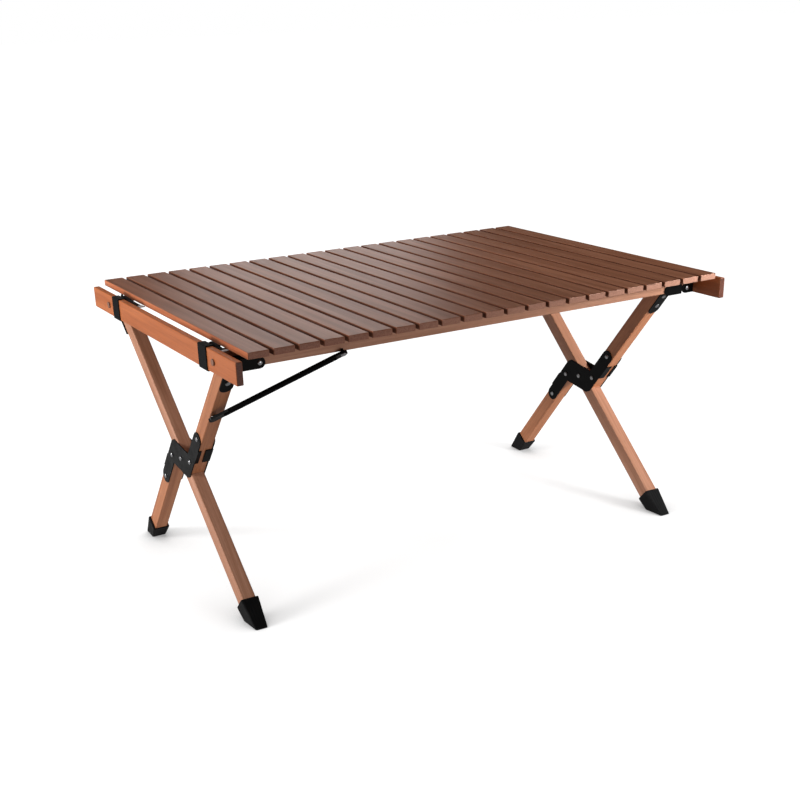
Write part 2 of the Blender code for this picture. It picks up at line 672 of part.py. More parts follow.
def build_straps(collection, cutters):
    """Webbing loops round the end rails, each with a tongue that runs under the outermost slat."""
    for name, side in SIDES:
        inner = side * (END_RAIL_OUTER_X - END_RAIL_THICKNESS - WEB_SKIN)
        outer = side * (END_RAIL_OUTER_X + WEB_SKIN)
        low_z = SLAT_BOTTOM - END_RAIL_HEIGHT - WEB_SKIN
        high_z = SLAT_BOTTOM + WEB_SKIN
        tongue_x = side * TONGUE_REACH_X
        for end, y in (("front", -STRAP_Y), ("back", STRAP_Y)):
            strap_name = f"{name}_{end}_strap"
            low_y = y - STRAP_WIDTH / 2
            high_y = y + STRAP_WIDTH / 2
            xs = sorted((inner - side * STRAP_THICKNESS, outer + side * STRAP_THICKNESS))
            low = (xs[0], low_y, low_z - STRAP_THICKNESS)
            high = (xs[1], high_y, high_z + STRAP_THICKNESS)
            strap = make_object(strap_name, box_mesh(strap_name, low, high), collection, WEBBING)
            reach = sorted((inner - side * STRAP_THICKNESS / 2, tongue_x))
            top = SLAT_BOTTOM - GAP
            tongue_low = (reach[0], low_y, top - STRAP_THICKNESS)
            tongue = box_mesh(strap_name, tongue_low, (reach[1], high_y, top))
            combine(strap, [tongue], "UNION", cutters)
            span = sorted((inner, outer))
            hollow_low = (span[0], y - STRAP_WIDTH, low_z)
            hollow = box_mesh(strap_name, hollow_low, (span[1], y + STRAP_WIDTH, high_z))
            combine(strap, [hollow], "DIFFERENCE", cutters)


def build_stay(collection, cutters):
    """The brace of the left legs: a rod with flat ends, from the front rail towards the split leg."""
    name = "leg_stay"
    rail_end = Vector(STAY_RAIL_END)
    leg_out = SPLIT_OFFSET + HALF_WIDTH + STAY_STANDOFF
    leg_end = Vector((STAY_LEG_X, *split_point(leg_out, STAY_LEG_UP)))
    run = (leg_end - rail_end).normalized()
    axis = run.cross(Vector((1, 0, 0))).normalized()
    across = axis.cross(run)
    inset = run * STAY_ROD_INSET
    rod = rod_mesh(name, run, rail_end + inset, leg_end - inset, STAY_ROD_RADIUS, 16)
    stay = make_object(name, rod, collection, STEEL, rail_end)
    extra = []
    for point, heading in ((rail_end, 1), (leg_end, -1)):
        overhang = STAY_OVERHANG if heading < 0 else 0.0
        outline = tongue_outline((STAY_FLAT_LENGTH, 0.0), (-overhang, 0.0), STAY_FLAT_RADIUS)
        flat = sheet_mesh(name, outline, STAY_FLAT_THICKNESS)
        extra.append(stand_up(flat, run * heading, across, point))
    shank_end = rail_end - axis * ((FRONT_RAIL_Y - PIN_RADIUS - rail_end.y) / -axis.y)
    extra.append(rod_mesh(name, axis, rail_end, shank_end, STAY_SHANK_RADIUS, 16))
    combine(stay, extra, "UNION", cutters)
    smooth(stay)


def build():
    clear_scene()
    parts = new_collection("folding_picnic_table")
    cutters = new_collection("cutters")
    build_slats(parts)
    build_belts(parts)
    build_long_rails(parts)
    build_fold_holes(parts, cutters)
    build_end_rails(parts, cutters)
    build_legs(parts, cutters)
    build_split_halves(parts)
    build_feet(parts, cutters)
    build_cross_plates(parts, cutters)
    build_corner_brackets(parts, cutters)
    build_rail_plate(parts)
    build_front_clips(parts, cutters)
    build_back_catches(parts, cutters)
    build_bolts(parts, cutters)
    build_straps(parts, cutters)
    build_stay(parts, cutters)


build()
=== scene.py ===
"""Looks of the folding picnic table: stained wood, coated steel, rubber and webbing. In metres."""

import json
import math

import bmesh
import bpy
from mathutils import Matrix, Vector


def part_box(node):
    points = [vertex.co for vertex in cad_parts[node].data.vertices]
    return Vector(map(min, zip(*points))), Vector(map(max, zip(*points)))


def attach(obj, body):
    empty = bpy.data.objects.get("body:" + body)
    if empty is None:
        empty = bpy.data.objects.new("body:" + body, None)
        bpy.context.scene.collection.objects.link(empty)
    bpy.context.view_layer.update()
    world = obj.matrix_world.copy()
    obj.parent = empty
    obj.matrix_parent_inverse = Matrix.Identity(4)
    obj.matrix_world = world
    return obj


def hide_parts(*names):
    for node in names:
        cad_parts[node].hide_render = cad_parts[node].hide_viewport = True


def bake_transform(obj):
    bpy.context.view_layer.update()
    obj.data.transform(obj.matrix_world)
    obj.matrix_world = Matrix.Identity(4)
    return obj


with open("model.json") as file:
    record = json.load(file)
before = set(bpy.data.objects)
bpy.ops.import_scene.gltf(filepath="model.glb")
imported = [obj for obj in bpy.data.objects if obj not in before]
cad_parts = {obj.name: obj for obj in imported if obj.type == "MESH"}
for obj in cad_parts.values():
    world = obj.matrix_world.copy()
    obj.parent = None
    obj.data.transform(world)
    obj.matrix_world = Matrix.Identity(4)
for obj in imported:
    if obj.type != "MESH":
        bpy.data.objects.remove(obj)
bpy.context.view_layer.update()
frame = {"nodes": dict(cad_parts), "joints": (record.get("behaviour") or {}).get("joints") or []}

SIDES = (("left", -1), ("right", 1))
SLATS = 22
FIXED_SLATS = 4  # these stay flat while the top rolls up

# ---- legs: the angle from upright, and each half leg's offset from the cross's centre line ----
SPLIT_ANGLE = math.radians(39.7)
CONTINUOUS_ANGLE = math.radians(48.0)
SPLIT_OFFSET = 0.0275
LEG_HALF_DEPTH = 0.01275
SHEET_GAP = 0.0003
SHEET_THICKNESS = 0.0016

# ---- rivet heads, as (radius, height), and their places up the leg from the cross's centre ----
CROSS_RIVET = (0.0042, 0.0020)
CLIP_RIVET = (0.0040, 0.0018)
RAIL_RIVET = (0.0038, 0.0019)
RAIL_PEEN = (0.0048, 0.0016)
STAY_RIVET = (0.0046, 0.0024)
CROSS_RIVET_UPS = (0.030, 0.0955)
CLIP_RIVET_UPS = (0.2585, 0.2836)
CATCH_RIVET_UPS = (0.2745, 0.2965)
PEEN_GAP = 0.0004
STAY_RIVET_LIFT = 0.0020

# ---- the post that the brace's free end rests over, as (radius, height) from its tip down ----
POST_X = -0.416
POST_UP = 0.1735
POST_GAP = 0.0001
POST_PROFILE = (
    (0.0, 0.0064),
    (0.0036, 0.0056),
    (0.0036, 0.0014),
    (0.0052, 0.0010),
    (0.0052, 0.0),
    (0.0, 0.0),
)

# ---- webbing straps ----
STRAP_THICKNESS = 0.0013
STRAP_GAP = 0.0004
STRAP_CORNER = 0.0016
TONGUE_STEPS = 6
TONGUE_DROP = 0.0022
TONGUE_WIDTH_SHARE = 0.96
TAIL_LENGTHS = {"front": 0.033, "back": 0.070}
TAIL_WIDTH = 0.0092
TAIL_STEPS = 10
TAIL_SIDE_GAP = 0.0018
TAIL_START = 0.004
TAIL_DROP = 0.0014
TAIL_SAG = 0.0016
TIP_STEPS = 2
TIP_WIDTH_SHARE = 1.02
TIP_THICKNESS_SHARE = 1.15

# ---- belts and staples under the slats ----
BELT_GAP = 0.0003
FIXED_BELT_STEPS = 8
BENDING_BELT_STEPS = 12
STAPLE_WIRE = 0.0004
STAPLE_LENGTH = 0.010
STAPLE_OFFSETS = (-0.007, 0.007)

# ---- wood grain: noise cells per metre across and along the grain ----
BAND_CELLS = (55.0, 2.2)
FIBRE_CELLS = (520.0, 9.0)
PORE_CELLS = (1500.0, 70.0)
END_GRAIN_CELLS = (420.0, 420.0)
BAND_SHARE = 0.62
FIBRE_SHARE = 0.38
PIECE_SPREAD = 9.0

# ---- places read from the frame ----
JOINTS = {joint["name"]: joint for joint in frame["joints"]}
SLAT_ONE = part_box("slat_01")
SLAT_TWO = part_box("slat_02")
SLAT_BOTTOM = SLAT_ONE[0].z
SLAT_WIDTH = SLAT_ONE[1].x - SLAT_ONE[0].x
SLAT_PITCH = SLAT_TWO[0].x - SLAT_ONE[0].x
BELT_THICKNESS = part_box("front_belt")[1].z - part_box("front_belt")[0].z


# ---- small geometry helpers ----
def link(name, mesh, material, body=None, smooth=False):
    """A scene object for a mesh, with one material, riding on a body if one is named."""
    obj = bpy.data.objects.new(name, mesh)
    bpy.context.scene.collection.objects.link(obj)
    mesh.materials.append(material)
    if smooth:
        mesh.shade_smooth()
        mesh.set_sharp_from_angle(angle=math.radians(40))
    if body:
        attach(obj, body)
    return obj


def finish_mesh(bm, name):
    """A mesh from a bmesh, with its faces turned outwards."""
    bm.normal_update()
    bmesh.ops.recalc_face_normals(bm, faces=bm.faces)
    mesh = bpy.data.meshes.new(name)
    bm.to_mesh(mesh)
    bm.free()
    return mesh


def turn_to(direction, location):
    """The matrix that takes +Z to a direction and the origin to a place."""
    turn = Vector((0, 0, 1)).rotation_difference(Vector(direction)).to_matrix().to_4x4()
    return Matrix.Translation(Vector(location)) @ turn


def add_turned(bm, profile, matrix, segments=24):
    """Adds a solid of revolution about +Z, from (radius, height) pairs given top to bottom."""
    rings = []
    for radius, height in profile:
        if radius == 0:
            rings.append([bm.verts.new(matrix @ Vector((0, 0, height)))])
            continue
        ring = []
        for step in range(segments):
            angle = 2 * math.pi * step / segments
            point = Vector((radius * math.cos(angle), radius * math.sin(angle), height))
            ring.append(bm.verts.new(matrix @ point))
        rings.append(ring)
    for upper, lower in zip(rings, rings[1:]):
        for step in range(segments):
            after = (step + 1) % segments
            if len(upper) == 1:
                bm.faces.new((upper[0], lower[step], lower[after]))
            elif len(lower) == 1:
                bm.faces.new((upper[step], lower[0], upper[after]))
            else:
                bm.faces.new((upper[step], lower[step], lower[after], upper[after]))


def dome_profile(radius, height, steps=6):
    """A domed rivet head on a short straight rim."""
    rim = height * 0.25
    points = [(0.0, height)]
    for step in range(1, steps + 1):
        angle = math.pi / 2 * step / steps
        points.append((radius * math.sin(angle), rim + (height - rim) * math.cos(angle)))
    points.append((radius, 0.0))
    points.append((0.0, 0.0))
    return points


def rivet_mesh(name, places, radius, height):
    """Several rivet heads, each given as (place, outward direction), in one mesh."""
    bm = bmesh.new()
    for place, direction in places:
        add_turned(bm, dome_profile(radius, height), turn_to(direction, place))
    return finish_mesh(bm, name)


def band_mesh(name, path, across, width, thickness, closed=False):
    """A webbing band of even thickness that follows a path and is centred across it."""
    bm = bmesh.new()
    side = Vector(across).normalized()
    half = side * (width / 2)
    count = len(path)
    rows = []
    for number, point in enumerate(path):
        before = path[(number - 1) % count] if closed or number else path[number]
        after = path[(number + 1) % count] if closed or number < count - 1 else path[number]
        normal = side.cross((Vector(after) - Vector(before)).normalized()) * (thickness / 2)
        centre = Vector(point)
        inset = side * (thickness * 0.3)
        row = [
            bm.verts.new(centre - half + inset - normal),
            bm.verts.new(centre + half - inset - normal),
            bm.verts.new(centre + half),
            bm.verts.new(centre + half - inset + normal),
            bm.verts.new(centre - half + inset + normal),
            bm.verts.new(centre - half),
        ]
        rows.append(row)
    pairs = list(zip(rows, rows[1:]))
    if closed:
        pairs.append((rows[-1], rows[0]))
    for first, second in pairs:
        for step in range(6):
            after = (step + 1) % 6
            bm.faces.new((first[step], first[after], second[after], second[step]))
    if not closed:
        bm.faces.new(rows[0])
        bm.faces.new(rows[-1])
    return finish_mesh(bm, name)


# ---- materials ----
def new_material(name):
    material = bpy.data.materials.new(name)
    material.use_nodes = True
    tree = material.node_tree
    return material, tree, tree.nodes["Principled BSDF"]


def node(tree, kind, inputs=None, **settings):
    made = tree.nodes.new(kind)
    for key, value in settings.items():
        setattr(made, key, value)
    for key, value in (inputs or {}).items():
        if hasattr(value, "is_output"):
            tree.links.new(value, made.inputs[key])
        else:
            made.inputs[key].default_value = value
    return made


def math_node(tree, operation, first, second=0.0):
    return node(tree, "ShaderNodeMath", {0: first, 1: second}, operation=operation).outputs[0]


def remap(tree, value, low, high, to_low, to_high):
    """Maps a value from one range to another, and holds it at the ends."""
    inputs = {
        "Value": value,
        "From Min": low,
        "From Max": high,
        "To Min": to_low,
        "To Max": to_high,
    }
    return node(tree, "ShaderNodeMapRange", inputs).outputs[0]


def mix_colour(tree, factor, first, second, blend="MIX"):
    """A colour mix; each input is a socket, a number or a three-part colour."""
    made = node(tree, "ShaderNodeMix", data_type="RGBA", blend_type=blend)
    pairs = zip((made.inputs[0], made.inputs[6], made.inputs[7]), (factor, first, second))
    for socket, value in pairs:
        if hasattr(value, "is_output"):
            tree.links.new(value, socket)
        elif isinstance(value, tuple) and len(value) == 3:
            socket.default_value = (*value, 1.0)
        else:
            socket.default_value = value
    return made.outputs[2]


def grain_space(tree, grain, spread):
    """Object coordinates with the grain turned along Z, and shifted differently for each piece."""
    coords = node(tree, "ShaderNodeTexCoord")
    turn = Vector(grain).rotation_difference(Vector((0, 0, 1))).to_euler()
    turned = node(
        tree, "ShaderNodeMapping", {"Vector": coords.outputs["Object"], "Rotation": turn}
    ).outputs[0]
    piece = node(tree, "ShaderNodeObjectInfo").outputs["Random"]
    shift = node(tree, "ShaderNodeCombineXYZ", {"X": math_node(tree, "MULTIPLY", piece, spread)})
    tree.links.new(math_node(tree, "MULTIPLY", piece, spread * 1.7), shift.inputs["Z"])
    moved = node(
        tree, "ShaderNodeVectorMath", {0: turned, 1: shift.outputs[0]}, operation="ADD"
    ).outputs[0]
    return coords, moved, piece


def stretched_noise(tree, vector, across, along, detail=4.0, rough=0.55, distortion=0.0):
    scaled = node(
        tree, "ShaderNodeMapping", {"Vector": vector, "Scale": (across, across, along)}
    ).outputs[0]
    inputs = {
        "Vector": scaled,
        "Scale": 1.0,
        "Detail": detail,
        "Roughness": rough,
        "Distortion": distortion,
    }
    return node(tree, "ShaderNodeTexNoise", inputs).outputs[0]


def wood_material(name, grain, dark, middle, light, end, roughness, tint_and_painted_light=None, shade=0.10):
    """Stained wood: growth bands, fine fibres and short pores along the grain, and an end grain."""
    material, tree, shader = new_material(name)
    coords, vector, piece = grain_space(tree, grain, PIECE_SPREAD)
    bands = stretched_noise(tree, vector, *BAND_CELLS, 3.0, 0.5, 0.9)
    fibres = stretched_noise(tree, vector, *FIBRE_CELLS, 3.0, 0.6)
    pores = stretched_noise(tree, vector, *PORE_CELLS, 2.0, 0.5)
    blended = math_node(
        tree,
        "ADD",
        math_node(tree, "MULTIPLY", bands, BAND_SHARE),
        math_node(tree, "MULTIPLY", fibres, FIBRE_SHARE),
    )
    ramp = node(tree, "ShaderNodeValToRGB", {"Fac": blended})
    stops = ramp.color_ramp.elements
    stops[0].position = 0.36
    stops[0].color = (*dark, 1.0)
    stops[1].position = 0.64
    stops[1].color = (*light, 1.0)
    centre = stops.new(0.50)
    centre.color = (*middle, 1.0)
    pore_mask = remap(tree, pores, 0.60, 0.72, 0.0, 0.38)
    colour = mix_colour(tree, pore_mask, ramp.outputs[0], tuple(c * 0.45 for c in dark))
    value = remap(tree, piece, 0.0, 1.0, 1.0 - shade, 1.0 + shade)
    inputs = {"Value": value, "Saturation": 1.05, "Color": colour}
    colour = node(tree, "ShaderNodeHueSaturation", inputs).outputs[0]
    # this colour step can also paint light and shade: for the slats it adds painted highlight on
    # open edges and painted shade in the gaps
    if tint_and_painted_light:
        colour = tint_and_painted_light(tree, coords, colour)
    facing = node(
        tree,
        "ShaderNodeVectorMath",
        {0: coords.outputs["Normal"], 1: Vector(grain).normalized()},
        operation="DOT_PRODUCT",
    ).outputs["Value"]
    end_mask = remap(tree, math_node(tree, "ABSOLUTE", facing), 0.75, 0.97, 0.0, 1.0)
    end_grain = stretched_noise(tree, vector, *END_GRAIN_CELLS, 3.0, 0.6)
    # for the slats this end colour carries painted light, paler towards the right end
    end_colour = end(tree, coords, end_grain)
    colour = mix_colour(tree, end_mask, colour, end_colour)
    tree.links.new(colour, shader.inputs["Base Color"])
    tree.links.new(
        math_node(tree, "ADD", math_node(tree, "MULTIPLY", fibres, 0.16), roughness - 0.08),
        shader.inputs["Roughness"],
    )
    shader.inputs["Specular IOR Level"].default_value = 0.35
    relief = math_node(
        tree,
        "SUBTRACT",
        math_node(tree, "MULTIPLY", fibres, 0.7),
        math_node(tree, "MULTIPLY", pore_mask, 1.2),
    )
    bump = node(tree, "ShaderNodeBump", {"Height": relief, "Strength": 0.35, "Distance": 0.00015})
    tree.links.new(bump.outputs[0], shader.inputs["Normal"])
    return material


def plain_end(dark, light):
    """An end-grain colour that only follows its own speckle."""

    def paint(tree, coords, speckle):
        return mix_colour(tree, remap(tree, speckle, 0.35, 0.65, 0.0, 1.0), dark, light)

    return paint


def slat_end_with_painted_light(tree, coords, speckle):
    """Slat ends with painted light: lighter towards the right end of the table, as if lit from the
    front right, darker towards the left.
    """
    place = node(tree, "ShaderNodeSeparateXYZ", {"Vector": coords.outputs["Object"]}).outputs[0]
    # painted light: the share of the lit end colour grows from left to right along the table
    share = remap(tree, place, -0.25, 0.40, 0.0, 1.0)
    mask = remap(tree, speckle, 0.35, 0.65, 0.0, 1.0)
    shaded_end_colour = mix_colour(tree, mask, (0.200, 0.066, 0.032), (0.290, 0.105, 0.055))
    lit_end_colour = mix_colour(tree, mask, (0.44, 0.215, 0.145), (0.56, 0.290, 0.200))
    return mix_colour(tree, share, shaded_end_colour, lit_end_colour)


def top_cast_and_painted_light(tree, coords, colour):
    """The slats: cooler at the left, warmer at the right, with painted highlight on the open side
    edges and painted shade on the sides down in the gaps.
    """
    place = node(tree, "ShaderNodeSeparateXYZ", {"Vector": coords.outputs["Object"]}).outputs[0]
    share = remap(tree, place, -0.35, 0.42, 0.0, 1.0)
    cast = mix_colour(tree, share, (0.98, 0.98, 1.00), (1.02, 1.00, 0.95))
    tinted = mix_colour(tree, 1.0, colour, cast, "MULTIPLY")
    sideways = node(tree, "ShaderNodeSeparateXYZ", {"Vector": coords.outputs["Normal"]}).outputs[0]
    side_mask = remap(tree, math_node(tree, "ABSOLUTE", sideways), 0.45, 0.9, 0.0, 1.0)
    # painted light and shade: ambient occlusion lifts the open side edges and darkens the sides in
    # the gaps
    occlusion = node(tree, "ShaderNodeAmbientOcclusion", {"Distance": 0.012}, samples=8)
    painted_open_edge_mask = remap(tree, occlusion.outputs["AO"], 0.72, 0.95, 0.0, 1.0)
    painted_edge_light_and_gap_shade = mix_colour(tree, painted_open_edge_mask, (0.34, 0.27, 0.22), (1.60, 1.30, 1.05))
    return mix_colour(tree, side_mask, tinted, mix_colour(tree, 1.0, tinted, painted_edge_light_and_gap_shade, "MULTIPLY"))


def plain_noise(tree, coords, scale, detail):
    inputs = {"Vector": coords, "Scale": scale, "Detail": detail}
    return node(tree, "ShaderNodeTexNoise", inputs).outputs[0]


def steel_material(name, colour, roughness, texture=0.25):
    """Powder-coated steel with a fine orange-peel surface."""
    material, tree, shader = new_material(name)
    coords = node(tree, "ShaderNodeTexCoord").outputs["Object"]
    peel = plain_noise(tree, coords, 1400.0, 2.0)
    patches = plain_noise(tree, coords, 60.0, 3.0)
    lift = tuple(min(1.0, c * 1.9 + 0.0006) for c in colour)
    tree.links.new(mix_colour(tree, patches, colour, lift), shader.inputs["Base Color"])
    spread = remap(tree, patches, 0.3, 0.7, roughness - 0.06, roughness + 0.08)
    tree.links.new(spread, shader.inputs["Roughness"])
    bump = node(tree, "ShaderNodeBump", {"Height": peel, "Strength": texture, "Distance": 0.0001})
    tree.links.new(bump.outputs[0], shader.inputs["Normal"])
    shader.inputs["Specular IOR Level"].default_value = 0.07
    return material


def rivet_material():
    """Plated rivet heads, brushed by wear."""
    material, tree, shader = new_material("plated_rivet")
    coords = node(tree, "ShaderNodeTexCoord").outputs["Object"]
    wear = remap(tree, plain_noise(tree, coords, 700.0, 3.0), 0.4, 0.62, 0.0, 1.0)
    colour = mix_colour(tree, wear, (0.22, 0.22, 0.23), (0.48, 0.48, 0.49))
    tree.links.new(colour, shader.inputs["Base Color"])
    shader.inputs["Metallic"].default_value = 1.0
    shader.inputs["Roughness"].default_value = 0.28
    return material


def rubber_material():
    """Moulded rubber with fine lengthwise ribs and a matt skin."""
    material, tree, shader = new_material("moulded_rubber")
    coords = node(tree, "ShaderNodeTexCoord").outputs["Object"]
    ribs = node(
        tree,
        "ShaderNodeTexWave",
        {"Vector": coords, "Scale": 62.0, "Distortion": 0.0},
        wave_type="BANDS",
        bands_direction="X",
        wave_profile="SIN",
    ).outputs[0]
    skin = plain_noise(tree, coords, 900.0, 3.0)
    dust = remap(tree, plain_noise(tree, coords, 45.0, 4.0), 0.45, 0.75, 0.0, 0.5)
    colour = mix_colour(tree, dust, (0.0015, 0.0015, 0.0017), (0.006, 0.006, 0.0063))
    tree.links.new(colour, shader.inputs["Base Color"])
    shader.inputs["Roughness"].default_value = 0.62
    shader.inputs["Specular IOR Level"].default_value = 0.2
    height = math_node(
        tree,
        "ADD",
        math_node(tree, "MULTIPLY", ribs, 1.0),
        math_node(tree, "MULTIPLY", skin, 0.25),
    )
    bump = node(tree, "ShaderNodeBump", {"Height": height, "Strength": 0.5, "Distance": 0.0004})
    tree.links.new(bump.outputs[0], shader.inputs["Normal"])
    return material


def webbing_material(name, colour, light):
    """Flat woven webbing: two crossing sets of threads in a fine twill."""
    material, tree, shader = new_material(name)
    coords = node(tree, "ShaderNodeTexCoord").outputs["Object"]
    turn = (0.0, math.radians(12), math.radians(45))
    turned = node(tree, "ShaderNodeMapping", {"Vector": coords, "Rotation": turn}).outputs[0]
    warp = node(
        tree, "ShaderNodeTexWave", {"Vector": coords, "Scale": 260.0}, bands_direction="Y"
    ).outputs[0]
    twill = node(
        tree, "ShaderNodeTexWave", {"Vector": turned, "Scale": 190.0}, bands_direction="X"
    ).outputs[0]
    threads = math_node(tree, "MULTIPLY", warp, twill)
    fuzz = plain_noise(tree, coords, 1800.0, 2.0)
    mask = math_node(
        tree,
        "ADD",
        math_node(tree, "MULTIPLY", threads, 0.7),
        math_node(tree, "MULTIPLY", fuzz, 0.3),
    )
    tree.links.new(mix_colour(tree, mask, colour, light), shader.inputs["Base Color"])
    shader.inputs["Roughness"].default_value = 0.82
    shader.inputs["Specular IOR Level"].default_value = 0.12
    shader.inputs["Sheen Weight"].default_value = 0.03
    bump = node(tree, "ShaderNodeBump", {"Height": mask, "Strength": 0.6, "Distance": 0.0003})
    tree.links.new(bump.outputs[0], shader.inputs["Normal"])
    return material


# ---- places on the legs ----
def box_middle(name):
    low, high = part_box(name)
    return (low + high) / 2


CROSS = box_middle("left_outer_cross_plate")
SPLIT_UP = Vector((0, -math.sin(SPLIT_ANGLE), math.cos(SPLIT_ANGLE)))
SPLIT_OUT = Vector((0, -math.cos(SPLIT_ANGLE), -math.sin(SPLIT_ANGLE)))
LONG_UP = Vector((0, math.sin(CONTINUOUS_ANGLE), math.cos(CONTINUOUS_ANGLE)))
LONG_OUT = Vector((0, math.cos(CONTINUOUS_ANGLE), -math.sin(CONTINUOUS_ANGLE)))


def split_place(x, out, up):
    """A place on a split leg: out from the cross's centre line, and up along the leg."""
    return Vector((x, CROSS.y, CROSS.z)) + SPLIT_OUT * out + SPLIT_UP * up


def long_place(x, out, up):
    """A place on a continuous leg: out from its centre line, and up along the leg."""
    return Vector((x, CROSS.y, CROSS.z)) + LONG_OUT * out + LONG_UP * up


# ---- carried-over parts ----
RAIL_END = plain_end((0.090, 0.024, 0.012), (0.150, 0.045, 0.024))
LEG_END = plain_end((0.20, 0.085, 0.045), (0.30, 0.14, 0.08))

TOP_WOOD = wood_material(
    "stained_slat",
    grain=(0, 1, 0),
    dark=(0.225, 0.085, 0.045),
    middle=(0.310, 0.127, 0.072),
    light=(0.395, 0.178, 0.108),
    end=slat_end_with_painted_light,
    roughness=0.42,
    tint_and_painted_light=top_cast_and_painted_light,
    shade=0.07,
)
LONG_RAIL_WOOD = wood_material(
    "stained_long_rail",
    grain=(1, 0, 0),
    dark=(0.36, 0.165, 0.098),
    middle=(0.46, 0.225, 0.140),
    light=(0.55, 0.290, 0.190),
    end=RAIL_END,
    roughness=0.45,
)
END_RAIL_WOOD = wood_material(
    "stained_end_rail",
    grain=(0, 1, 0),
    dark=(0.34, 0.100, 0.038),
    middle=(0.43, 0.135, 0.054),
    light=(0.51, 0.175, 0.075),
    end=RAIL_END,
    roughness=0.44,
)
LONG_LEG_WOOD = wood_material(
    "stained_long_leg",
    grain=LONG_UP,
    dark=(0.350, 0.162, 0.096),
    middle=(0.445, 0.218, 0.138),
    light=(0.540, 0.284, 0.192),
    end=LEG_END,
    roughness=0.48,
)
SPLIT_LEG_WOOD = wood_material(
    "stained_split_leg",
    grain=SPLIT_UP,
    dark=(0.34, 0.130, 0.064),
    middle=(0.43, 0.175, 0.090),
    light=(0.52, 0.230, 0.125),
    end=LEG_END,
    roughness=0.48,
)
COATED_STEEL = steel_material("powder_coat", (0.0008, 0.0008, 0.0009), 0.34)
FASTENER_STEEL = steel_material("fastener_plate", (0.16, 0.085, 0.060), 0.40, 0.1)
RIVET_STEEL = rivet_material()
RUBBER = rubber_material()
WEBBING = webbing_material("black_webbing", (0.0010, 0.0010, 0.0012), (0.005, 0.005, 0.0053))
TIP_WEBBING = webbing_material("grey_webbing_tip", (0.42, 0.42, 0.42), (0.72, 0.72, 0.72))


def paint(name, material):
    """Gives every slot of a carried-over part one material."""
    obj = frame["nodes"][name]
    if not obj.material_slots:
        obj.data.materials.append(material)
    for slot in obj.material_slots:
        slot.material = material
    return obj


def paint_frame():
    for number in range(SLATS):
        paint(f"slat_{number + 1:02d}", TOP_WOOD)
    paint("front_rail", LONG_RAIL_WOOD)
    paint("back_rail", LONG_RAIL_WOOD)
    for name, side in SIDES:
        paint(f"{name}_end_rail", END_RAIL_WOOD)
        paint(f"{name}_continuous_leg", LONG_LEG_WOOD)
        paint(f"{name}_split_leg_upper", SPLIT_LEG_WOOD)
        paint(f"{name}_split_leg_lower", SPLIT_LEG_WOOD)
        for part in ("outer_cross_plate", "inner_cross_plate", "front_bracket", "back_bracket"):
            paint(f"{name}_{part}", COATED_STEEL)
        for part in ("front_clip", "back_catch"):
            paint(f"{name}_{part}", COATED_STEEL)
        for part in ("front_bolt", "rear_stud"):
            paint(f"{name}_{part}", FASTENER_STEEL)
        for part in ("front_foot", "back_foot"):
            paint(f"{name}_{part}", RUBBER)
    paint("leg_stay", COATED_STEEL)
    paint("right_rail_plate", COATED_STEEL)


# ---- rivets ----
def add_rivets(name, places, size, body):
    """Rivet heads of one (radius, height) at several (place, outward direction) pairs."""
    radius, height = size
    obj = link(name, rivet_mesh(name, places, radius, height), RIVET_STEEL, body, smooth=True)
    return obj


def build_cross_rivets():
    """Five heads on each face of each cross: two up, two down and one on the pivot."""
    spots = [(SPLIT_OFFSET, up) for up in CROSS_RIVET_UPS]
    spots += [(-SPLIT_OFFSET, -up) for up in CROSS_RIVET_UPS]
    spots.append((0.0, 0.0))
    for name, side in SIDES:
        for face in ("outer", "inner"):
            low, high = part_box(f"{name}_{face}_cross_plate")
            direction = side if face == "outer" else -side
            surface = high.x if direction > 0 else low.x
            places = [(split_place(surface, out, up), (direction, 0, 0)) for out, up in spots]
            add_rivets(f"{name}_{face}_cross_rivets", places, CROSS_RIVET, f"{name}_split_leg")


def build_clip_rivets():
    """Two heads on each leg-top clip: the front clip on the split leg, the catch on the long one."""
    for name, side in SIDES:
        middle = box_middle(f"{name}_continuous_leg").x
        face = SPLIT_OFFSET + LEG_HALF_DEPTH + SHEET_GAP + SHEET_THICKNESS
        places = [(split_place(middle, face, up), SPLIT_OUT) for up in CLIP_RIVET_UPS]
        add_rivets(f"{name}_front_clip_rivets", places, CLIP_RIVET, f"{name}_split_leg")
        face = LEG_HALF_DEPTH + SHEET_GAP + SHEET_THICKNESS
        places = [(long_place(middle, face, up), LONG_OUT) for up in CATCH_RIVET_UPS]
        add_rivets(f"{name}_back_catch_rivets", places, CLIP_RIVET, f"{name}_long_leg")


def build_rail_rivets():
    """A head on each corner bracket, and a peened end behind the front rail."""
    fold_z = {
        "front": JOINTS["left_leg_fold"]["pos_m"][2],
        "back": JOINTS["back_rail_level"]["pos_m"][2],
    }
    for name, side in SIDES:
        x = JOINTS[f"{name}_leg_fold"]["pos_m"][0]
        for end, outward in (("front", -1), ("back", 1)):
            low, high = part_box(f"{name}_{end}_bracket")
            outer_y = low.y if outward < 0 else high.y
            body = f"{name}_{end}_corner"
            places = [((x, outer_y, fold_z[end]), (0, outward, 0))]
            add_rivets(f"{name}_{end}_rail_rivet", places, RAIL_RIVET, body)
            if end == "front":
                inner_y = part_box("front_rail")[1].y + PEEN_GAP
                peen = [((x, inner_y, fold_z[end]), (0, -outward, 0))]
                add_rivets(f"{name}_{end}_rail_peen", peen, RAIL_PEEN, body)


